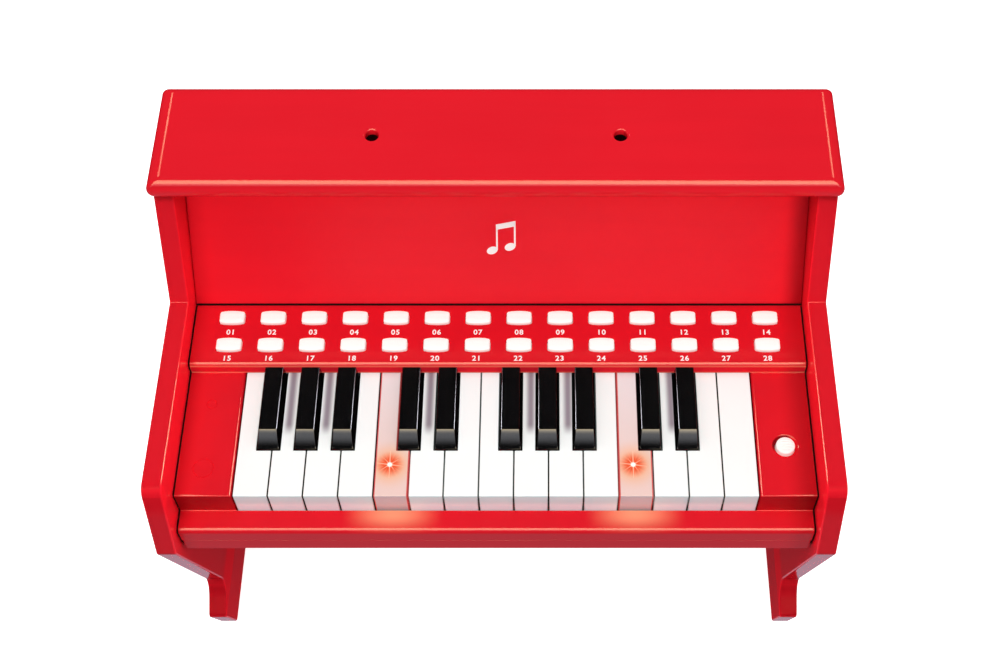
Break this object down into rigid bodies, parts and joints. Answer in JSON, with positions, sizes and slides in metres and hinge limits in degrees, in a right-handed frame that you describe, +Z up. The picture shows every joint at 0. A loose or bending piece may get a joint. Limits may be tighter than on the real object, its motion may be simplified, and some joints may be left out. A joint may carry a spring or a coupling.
{
  "type": "toy electronic keyboard",
  "caption": "Small upright toy piano of glossy red boards, with a plastic console of white and black keys, soft panel buttons and a round power button",
  "frame": {"origin": "on the floor under the middle of the object's box", "axes": "+Z up, +X to the right of someone playing it, the player sits on the -Y side"},
  "size_m": [0.415, 0.2544, 0.325],
  "materials": {
    "lacquered_board": "board sprayed with high-gloss red lacquer",
    "console_plastic": "gloss red moulding",
    "white_key": "gloss warm white",
    "lit_key": "gloss warm white, lit pink from below by its lamp",
    "black_key": "high-gloss black",
    "soft_button": "satin white silicone",
    "power_button": "gloss white"
  },
  "bodies": {
    "case": {"left_side_panel": "lacquered_board", "right_side_panel": "lacquered_board", "top_lid": "lacquered_board", "upper_front_board": "lacquered_board", "back_panel": "lacquered_board", "keyboard_console": "console_plastic"},
    "white_key_01": {"white_key_01": "white_key"},
    "white_key_02": {"white_key_02": "white_key"},
    "white_key_03": {"white_key_03": "white_key"},
    "white_key_04": {"white_key_04": "white_key"},
    "white_key_05": {"white_key_05": "lit_key"},
    "white_key_06": {"white_key_06": "white_key"},
    "white_key_07": {"white_key_07": "white_key"},
    "white_key_08": {"white_key_08": "white_key"},
    "white_key_09": {"white_key_09": "white_key"},
    "white_key_10": {"white_key_10": "white_key"},
    "white_key_11": {"white_key_11": "white_key"},
    "white_key_12": {"white_key_12": "lit_key"},
    "white_key_13": {"white_key_13": "white_key"},
    "white_key_14": {"white_key_14": "white_key"},
    "white_key_15": {"white_key_15": "white_key"},
    "black_key_01": {"black_key_01": "black_key"},
    "black_key_02": {"black_key_02": "black_key"},
    "black_key_03": {"black_key_03": "black_key"},
    "black_key_04": {"black_key_04": "black_key"},
    "black_key_05": {"black_key_05": "black_key"},
    "black_key_06": {"black_key_06": "black_key"},
    "black_key_07": {"black_key_07": "black_key"},
    "black_key_08": {"black_key_08": "black_key"},
    "black_key_09": {"black_key_09": "black_key"},
    "black_key_10": {"black_key_10": "black_key"},
    "panel_button_a01": {"panel_button_a01": "soft_button"},
    "panel_button_a02": {"panel_button_a02": "soft_button"},
    "panel_button_a03": {"panel_button_a03": "soft_button"},
    "panel_button_a04": {"panel_button_a04": "soft_button"},
    "panel_button_a05": {"panel_button_a05": "soft_button"},
    "panel_button_a06": {"panel_button_a06": "soft_button"},
    "panel_button_a07": {"panel_button_a07": "soft_button"},
    "panel_button_a08": {"panel_button_a08": "soft_button"},
    "panel_button_a09": {"panel_button_a09": "soft_button"},
    "panel_button_a10": {"panel_button_a10": "soft_button"},
    "panel_button_a11": {"panel_button_a11": "soft_button"},
    "panel_button_a12": {"panel_button_a12": "soft_button"},
    "panel_button_a13": {"panel_button_a13": "soft_button"},
    "panel_button_a14": {"panel_button_a14": "soft_button"},
    "panel_button_b01": {"panel_button_b01": "soft_button"},
    "panel_button_b02": {"panel_button_b02": "soft_button"},
    "panel_button_b03": {"panel_button_b03": "soft_button"},
    "panel_button_b04": {"panel_button_b04": "soft_button"},
    "panel_button_b05": {"panel_button_b05": "soft_button"},
    "panel_button_b06": {"panel_button_b06": "soft_button"},
    "panel_button_b07": {"panel_button_b07": "soft_button"},
    "panel_button_b08": {"panel_button_b08": "soft_button"},
    "panel_button_b09": {"panel_button_b09": "soft_button"},
    "panel_button_b10": {"panel_button_b10": "soft_button"},
    "panel_button_b11": {"panel_button_b11": "soft_button"},
    "panel_button_b12": {"panel_button_b12": "soft_button"},
    "panel_button_b13": {"panel_button_b13": "soft_button"},
    "panel_button_b14": {"panel_button_b14": "soft_button"},
    "power_button": {"power_button": "power_button"}
  },
  "joints": [
    {"name": "white_key_01_press", "type": "hinge", "parent": "case", "child": "white_key_01", "pos_m": [0, 0.03221, 0.2045], "axis": [1, 0, 0], "range_deg": [0, 1.7], "stiffness_Nm_per_rad": 0.8, "springref_deg": -3.44},
    {"name": "white_key_02_press", "type": "hinge", "parent": "case", "child": "white_key_02", "pos_m": [0, 0.03221, 0.2045], "axis": [1, 0, 0], "range_deg": [0, 1.7], "stiffness_Nm_per_rad": 0.8, "springref_deg": -3.44},
    {"name": "white_key_03_press", "type": "hinge", "parent": "case", "child": "white_key_03", "pos_m": [0, 0.03221, 0.2045], "axis": [1, 0, 0], "range_deg": [0, 1.7], "stiffness_Nm_per_rad": 0.8, "springref_deg": -3.44},
    {"name": "white_key_04_press", "type": "hinge", "parent": "case", "child": "white_key_04", "pos_m": [0, 0.03221, 0.2045], "axis": [1, 0, 0], "range_deg": [0, 1.7], "stiffness_Nm_per_rad": 0.8, "springref_deg": -3.44},
    {"name": "white_key_05_press", "type": "hinge", "parent": "case", "child": "white_key_05", "pos_m": [0, 0.03221, 0.2045], "axis": [1, 0, 0], "range_deg": [0, 1.7], "stiffness_Nm_per_rad": 0.8, "springref_deg": -3.44},
    {"name": "white_key_06_press", "type": "hinge", "parent": "case", "child": "white_key_06", "pos_m": [0, 0.03221, 0.2045], "axis": [1, 0, 0], "range_deg": [0, 1.7], "stiffness_Nm_per_rad": 0.8, "springref_deg": -3.44},
    {"name": "white_key_07_press", "type": "hinge", "parent": "case", "child": "white_key_07", "pos_m": [0, 0.03221, 0.2045], "axis": [1, 0, 0], "range_deg": [0, 1.7], "stiffness_Nm_per_rad": 0.8, "springref_deg": -3.44},
    {"name": "white_key_08_press", "type": "hinge", "parent": "case", "child": "white_key_08", "pos_m": [0, 0.03221, 0.2045], "axis": [1, 0, 0], "range_deg": [0, 1.7], "stiffness_Nm_per_rad": 0.8, "springref_deg": -3.44},
    {"name": "white_key_09_press", "type": "hinge", "parent": "case", "child": "white_key_09", "pos_m": [0, 0.03221, 0.2045], "axis": [1, 0, 0], "range_deg": [0, 1.7], "stiffness_Nm_per_rad": 0.8, "springref_deg": -3.44},
    {"name": "white_key_10_press", "type": "hinge", "parent": "case", "child": "white_key_10", "pos_m": [0, 0.03221, 0.2045], "axis": [1, 0, 0], "range_deg": [0, 1.7], "stiffness_Nm_per_rad": 0.8, "springref_deg": -3.44},
    {"name": "white_key_11_press", "type": "hinge", "parent": "case", "child": "white_key_11", "pos_m": [0, 0.03221, 0.2045], "axis": [1, 0, 0], "range_deg": [0, 1.7], "stiffness_Nm_per_rad": 0.8, "springref_deg": -3.44},
    {"name": "white_key_12_press", "type": "hinge", "parent": "case", "child": "white_key_12", "pos_m": [0, 0.03221, 0.2045], "axis": [1, 0, 0], "range_deg": [0, 1.7], "stiffness_Nm_per_rad": 0.8, "springref_deg": -3.44},
    {"name": "white_key_13_press", "type": "hinge", "parent": "case", "child": "white_key_13", "pos_m": [0, 0.03221, 0.2045], "axis": [1, 0, 0], "range_deg": [0, 1.7], "stiffness_Nm_per_rad": 0.8, "springref_deg": -3.44},
    {"name": "white_key_14_press", "type": "hinge", "parent": "case", "child": "white_key_14", "pos_m": [0, 0.03221, 0.2045], "axis": [1, 0, 0], "range_deg": [0, 1.7], "stiffness_Nm_per_rad": 0.8, "springref_deg": -3.44},
    {"name": "white_key_15_press", "type": "hinge", "parent": "case", "child": "white_key_15", "pos_m": [0, 0.03221, 0.2045], "axis": [1, 0, 0], "range_deg": [0, 1.7], "stiffness_Nm_per_rad": 0.8, "springref_deg": -3.44},
    {"name": "black_key_01_press", "type": "hinge", "parent": "case", "child": "black_key_01", "pos_m": [0, 0.03221, 0.2045], "axis": [1, 0, 0], "range_deg": [0, 1.7], "stiffness_Nm_per_rad": 0.8, "springref_deg": -3.44},
    {"name": "black_key_02_press", "type": "hinge", "parent": "case", "child": "black_key_02", "pos_m": [0, 0.03221, 0.2045], "axis": [1, 0, 0], "range_deg": [0, 1.7], "stiffness_Nm_per_rad": 0.8, "springref_deg": -3.44},
    {"name": "black_key_03_press", "type": "hinge", "parent": "case", "child": "black_key_03", "pos_m": [0, 0.03221, 0.2045], "axis": [1, 0, 0], "range_deg": [0, 1.7], "stiffness_Nm_per_rad": 0.8, "springref_deg": -3.44},
    {"name": "black_key_04_press", "type": "hinge", "parent": "case", "child": "black_key_04", "pos_m": [0, 0.03221, 0.2045], "axis": [1, 0, 0], "range_deg": [0, 1.7], "stiffness_Nm_per_rad": 0.8, "springref_deg": -3.44},
    {"name": "black_key_05_press", "type": "hinge", "parent": "case", "child": "black_key_05", "pos_m": [0, 0.03221, 0.2045], "axis": [1, 0, 0], "range_deg": [0, 1.7], "stiffness_Nm_per_rad": 0.8, "springref_deg": -3.44},
    {"name": "black_key_06_press", "type": "hinge", "parent": "case", "child": "black_key_06", "pos_m": [0, 0.03221, 0.2045], "axis": [1, 0, 0], "range_deg": [0, 1.7], "stiffness_Nm_per_rad": 0.8, "springref_deg": -3.44},
    {"name": "black_key_07_press", "type": "hinge", "parent": "case", "child": "black_key_07", "pos_m": [0, 0.03221, 0.2045], "axis": [1, 0, 0], "range_deg": [0, 1.7], "stiffness_Nm_per_rad": 0.8, "springref_deg": -3.44},
    {"name": "black_key_08_press", "type": "hinge", "parent": "case", "child": "black_key_08", "pos_m": [0, 0.03221, 0.2045], "axis": [1, 0, 0], "range_deg": [0, 1.7], "stiffness_Nm_per_rad": 0.8, "springref_deg": -3.44},
    {"name": "black_key_09_press", "type": "hinge", "parent": "case", "child": "black_key_09", "pos_m": [0, 0.03221, 0.2045], "axis": [1, 0, 0], "range_deg": [0, 1.7], "stiffness_Nm_per_rad": 0.8, "springref_deg": -3.44},
    {"name": "black_key_10_press", "type": "hinge", "parent": "case", "child": "black_key_10", "pos_m": [0, 0.03221, 0.2045], "axis": [1, 0, 0], "range_deg": [0, 1.7], "stiffness_Nm_per_rad": 0.8, "springref_deg": -3.44},
    {"name": "panel_button_a01_press", "type": "slide", "parent": "case", "child": "panel_button_a01", "axis": [0, 0, -1], "range_m": [0, 0.0015], "stiffness_N_per_m": 400, "springref_m": -0.002},
    {"name": "panel_button_a02_press", "type": "slide", "parent": "case", "child": "panel_button_a02", "axis": [0, 0, -1], "range_m": [0, 0.0015], "stiffness_N_per_m": 400, "springref_m": -0.002},
    {"name": "panel_button_a03_press", "type": "slide", "parent": "case", "child": "panel_button_a03", "axis": [0, 0, -1], "range_m": [0, 0.0015], "stiffness_N_per_m": 400, "springref_m": -0.002},
    {"name": "panel_button_a04_press", "type": "slide", "parent": "case", "child": "panel_button_a04", "axis": [0, 0, -1], "range_m": [0, 0.0015], "stiffness_N_per_m": 400, "springref_m": -0.002},
    {"name": "panel_button_a05_press", "type": "slide", "parent": "case", "child": "panel_button_a05", "axis": [0, 0, -1], "range_m": [0, 0.0015], "stiffness_N_per_m": 400, "springref_m": -0.002},
    {"name": "panel_button_a06_press", "type": "slide", "parent": "case", "child": "panel_button_a06", "axis": [0, 0, -1], "range_m": [0, 0.0015], "stiffness_N_per_m": 400, "springref_m": -0.002},
    {"name": "panel_button_a07_press", "type": "slide", "parent": "case", "child": "panel_button_a07", "axis": [0, 0, -1], "range_m": [0, 0.0015], "stiffness_N_per_m": 400, "springref_m": -0.002},
    {"name": "panel_button_a08_press", "type": "slide", "parent": "case", "child": "panel_button_a08", "axis": [0, 0, -1], "range_m": [0, 0.0015], "stiffness_N_per_m": 400, "springref_m": -0.002},
    {"name": "panel_button_a09_press", "type": "slide", "parent": "case", "child": "panel_button_a09", "axis": [0, 0, -1], "range_m": [0, 0.0015], "stiffness_N_per_m": 400, "springref_m": -0.002},
    {"name": "panel_button_a10_press", "type": "slide", "parent": "case", "child": "panel_button_a10", "axis": [0, 0, -1], "range_m": [0, 0.0015], "stiffness_N_per_m": 400, "springref_m": -0.002},
    {"name": "panel_button_a11_press", "type": "slide", "parent": "case", "child": "panel_button_a11", "axis": [0, 0, -1], "range_m": [0, 0.0015], "stiffness_N_per_m": 400, "springref_m": -0.002},
    {"name": "panel_button_a12_press", "type": "slide", "parent": "case", "child": "panel_button_a12", "axis": [0, 0, -1], "range_m": [0, 0.0015], "stiffness_N_per_m": 400, "springref_m": -0.002},
    {"name": "panel_button_a13_press", "type": "slide", "parent": "case", "child": "panel_button_a13", "axis": [0, 0, -1], "range_m": [0, 0.0015], "stiffness_N_per_m": 400, "springref_m": -0.002},
    {"name": "panel_button_a14_press", "type": "slide", "parent": "case", "child": "panel_button_a14", "axis": [0, 0, -1], "range_m": [0, 0.0015], "stiffness_N_per_m": 400, "springref_m": -0.002},
    {"name": "panel_button_b01_press", "type": "slide", "parent": "case", "child": "panel_button_b01", "axis": [0, 0, -1], "range_m": [0, 0.0015], "stiffness_N_per_m": 400, "springref_m": -0.002},
    {"name": "panel_button_b02_press", "type": "slide", "parent": "case", "child": "panel_button_b02", "axis": [0, 0, -1], "range_m": [0, 0.0015], "stiffness_N_per_m": 400, "springref_m": -0.002},
    {"name": "panel_button_b03_press", "type": "slide", "parent": "case", "child": "panel_button_b03", "axis": [0, 0, -1], "range_m": [0, 0.0015], "stiffness_N_per_m": 400, "springref_m": -0.002},
    {"name": "panel_button_b04_press", "type": "slide", "parent": "case", "child": "panel_button_b04", "axis": [0, 0, -1], "range_m": [0, 0.0015], "stiffness_N_per_m": 400, "springref_m": -0.002},
    {"name": "panel_button_b05_press", "type": "slide", "parent": "case", "child": "panel_button_b05", "axis": [0, 0, -1], "range_m": [0, 0.0015], "stiffness_N_per_m": 400, "springref_m": -0.002},
    {"name": "panel_button_b06_press", "type": "slide", "parent": "case", "child": "panel_button_b06", "axis": [0, 0, -1], "range_m": [0, 0.0015], "stiffness_N_per_m": 400, "springref_m": -0.002},
    {"name": "panel_button_b07_press", "type": "slide", "parent": "case", "child": "panel_button_b07", "axis": [0, 0, -1], "range_m": [0, 0.0015], "stiffness_N_per_m": 400, "springref_m": -0.002},
    {"name": "panel_button_b08_press", "type": "slide", "parent": "case", "child": "panel_button_b08", "axis": [0, 0, -1], "range_m": [0, 0.0015], "stiffness_N_per_m": 400, "springref_m": -0.002},
    {"name": "panel_button_b09_press", "type": "slide", "parent": "case", "child": "panel_button_b09", "axis": [0, 0, -1], "range_m": [0, 0.0015], "stiffness_N_per_m": 400, "springref_m": -0.002},
    {"name": "panel_button_b10_press", "type": "slide", "parent": "case", "child": "panel_button_b10", "axis": [0, 0, -1], "range_m": [0, 0.0015], "stiffness_N_per_m": 400, "springref_m": -0.002},
    {"name": "panel_button_b11_press", "type": "slide", "parent": "case", "child": "panel_button_b11", "axis": [0, 0, -1], "range_m": [0, 0.0015], "stiffness_N_per_m": 400, "springref_m": -0.002},
    {"name": "panel_button_b12_press", "type": "slide", "parent": "case", "child": "panel_button_b12", "axis": [0, 0, -1], "range_m": [0, 0.0015], "stiffness_N_per_m": 400, "springref_m": -0.002},
    {"name": "panel_button_b13_press", "type": "slide", "parent": "case", "child": "panel_button_b13", "axis": [0, 0, -1], "range_m": [0, 0.0015], "stiffness_N_per_m": 400, "springref_m": -0.002},
    {"name": "panel_button_b14_press", "type": "slide", "parent": "case", "child": "panel_button_b14", "axis": [0, 0, -1], "range_m": [0, 0.0015], "stiffness_N_per_m": 400, "springref_m": -0.002},
    {"name": "power_button_press", "type": "slide", "parent": "case", "child": "power_button", "axis": [0, 0, -1], "range_m": [0, 0.002], "stiffness_N_per_m": 500, "springref_m": -0.002}
  ]
}
